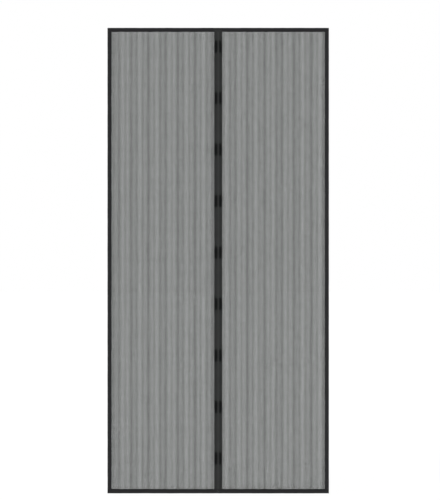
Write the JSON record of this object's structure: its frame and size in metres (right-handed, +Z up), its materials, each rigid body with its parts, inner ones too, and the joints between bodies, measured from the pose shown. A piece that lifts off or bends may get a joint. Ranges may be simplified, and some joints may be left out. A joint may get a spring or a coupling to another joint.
{
  "type": "magnetic insect screen",
  "caption": "Doorway insect screen of two netting panels with folded tape edges, which meet at a slit held shut by bar magnets in sewn pockets.",
  "frame": {"origin": "middle of the back face of the fastening strip along the top edge, where the screen meets the door frame", "axes": "+Z up along the slit, +Y out of the back towards the door frame, +X to the right seen from the front, which faces -Y"},
  "size_m": [0.9906, 0.0089, 2.0828],
  "materials": {
    "netting": "matte",
    "edge_tape": "matte",
    "placket_tape": "matte",
    "pocket_cloth": "matte",
    "magnet_bar": "satin",
    "loop_strip": "matte"
  },
  "bodies": {
    "root": {"left_mesh_panel": "netting", "right_mesh_panel": "netting", "top_binding": "edge_tape", "left_side_binding": "edge_tape", "right_side_binding": "edge_tape", "left_bottom_binding": "edge_tape", "right_bottom_binding": "edge_tape", "left_magnet_placket": "placket_tape", "right_magnet_placket": "placket_tape", "left_magnet_pocket_1": "pocket_cloth", "left_magnet_pocket_2": "pocket_cloth", "left_magnet_pocket_3": "pocket_cloth", "left_magnet_pocket_4": "pocket_cloth", "left_magnet_pocket_5": "pocket_cloth", "left_magnet_pocket_6": "pocket_cloth", "left_magnet_pocket_7": "pocket_cloth", "left_magnet_pocket_8": "pocket_cloth", "left_magnet_pocket_9": "pocket_cloth", "right_magnet_pocket_1": "pocket_cloth", "right_magnet_pocket_2": "pocket_cloth", "right_magnet_pocket_3": "pocket_cloth", "right_magnet_pocket_4": "pocket_cloth", "right_magnet_pocket_5": "pocket_cloth", "right_magnet_pocket_6": "pocket_cloth", "right_magnet_pocket_7": "pocket_cloth", "right_magnet_pocket_8": "pocket_cloth", "right_magnet_pocket_9": "pocket_cloth", "left_magnet_1": "magnet_bar", "left_magnet_2": "magnet_bar", "left_magnet_3": "magnet_bar", "left_magnet_4": "magnet_bar", "left_magnet_5": "magnet_bar", "left_magnet_6": "magnet_bar", "left_magnet_7": "magnet_bar", "left_magnet_8": "magnet_bar", "left_magnet_9": "magnet_bar", "right_magnet_1": "magnet_bar", "right_magnet_2": "magnet_bar", "right_magnet_3": "magnet_bar", "right_magnet_4": "magnet_bar", "right_magnet_5": "magnet_bar", "right_magnet_6": "magnet_bar", "right_magnet_7": "magnet_bar", "right_magnet_8": "magnet_bar", "right_magnet_9": "magnet_bar", "top_loop_strip": "loop_strip", "left_loop_strip": "loop_strip", "right_loop_strip": "loop_strip"}
  },
  "joints": []
}
